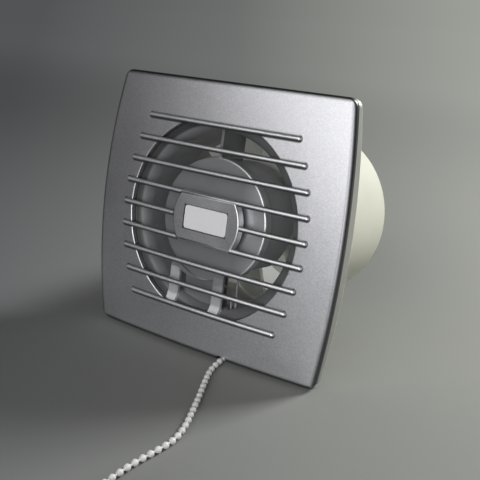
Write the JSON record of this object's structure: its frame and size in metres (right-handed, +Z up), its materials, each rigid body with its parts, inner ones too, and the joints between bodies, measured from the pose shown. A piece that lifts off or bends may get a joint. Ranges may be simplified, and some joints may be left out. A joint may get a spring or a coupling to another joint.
{
  "type": "ventilation fan",
  "caption": "Square wall fan for a round duct, with a domed barred cover, a rear spigot, an axial impeller and a pull chain switch.",
  "frame": {"origin": "on the table, under the middle of the fan's box without its chain, in the leaning pose of the picture", "axes": "+Z up from the table, +X to the fan's right as seen from the front, +Y away from the viewer, towards the duct spigot; the fan axis leans 12.4 degrees down to the rear"},
  "size_m": [0.1631, 0.2747, 0.1382],
  "materials": {
    "silver_paint": "silver paint over moulded plastic",
    "plate_metal": "satin",
    "ivory_plastic": "moulded, satin",
    "grey_plastic": "silver grey, satin",
    "impeller_plastic": "pale grey-cream, satin",
    "white_plastic": "moulded",
    "bead_plastic": "glossy white",
    "grommet_rubber": "matt black",
    "screw_steel": "zinc plated",
    "shaft_steel": "ground",
    "core_steel": "stacked sheets",
    "rotor_metal": "turned",
    "bridge_metal": "die cast",
    "bronze": "sintered or plain",
    "copper": "enamelled wire",
    "grey_lead": "insulated wire"
  },
  "bodies": {
    "fan_body": {"front_cover": "silver_paint", "name_plate": "plate_metal", "housing": "ivory_plastic", "cover_screw": "screw_steel", "motor_bracket": "grey_plastic", "bracket_screws": "screw_steel", "stator_core": "core_steel", "shading_rings": "copper", "coil_bobbin": "white_plastic", "stator_coil": "copper", "front_bridge": "bridge_metal", "rear_bridge": "bridge_metal", "front_bearing": "bronze", "rear_bearing": "bronze", "motor_screws": "screw_steel", "motor_cup": "grey_plastic", "terminal_block": "white_plastic", "terminal_screws": "bronze", "terminal_cover": "grey_plastic", "cable_grommet": "grommet_rubber", "switch_body": "white_plastic", "switch_lid": "white_plastic", "switch_screws": "screw_steel", "switch_contacts": "bronze", "return_spring": "shaft_steel", "chain_guide": "white_plastic", "supply_lead": "grey_lead", "switch_lead": "grey_lead", "return_lead": "grey_lead"},
    "rotor": {"impeller": "impeller_plastic", "impeller_clip": "shaft_steel", "motor_shaft": "shaft_steel", "rotor_core": "rotor_metal"},
    "plunger": {"pull_plunger": "white_plastic"},
    "chain": {"pull_chain": "bead_plastic", "chain_coil": "bead_plastic", "chain_toggle": "bead_plastic"}
  },
  "joints": [
    {"name": "impeller_spin", "type": "hinge", "parent": "fan_body", "child": "rotor", "pos_m": [0, -0.03886, 0.06806], "axis": [0, 0.9765, -0.2155], "continuous": true},
    {"name": "plunger_pull", "type": "slide", "parent": "fan_body", "child": "plunger", "axis": [0, -0.2155, -0.9765], "range_m": [0, 0.003], "stiffness_N_per_m": 400, "springref_m": -0.003, "deforming": ["return_spring"]},
    {"name": "chain_pull", "type": "slide", "parent": "fan_body", "child": "chain", "axis": [0, -1, 0], "range_m": [0, 0.003]}
  ],
  "couplings": [
    {"joint": "chain_pull", "follows": "plunger_pull", "ratio": 1}
  ]
}
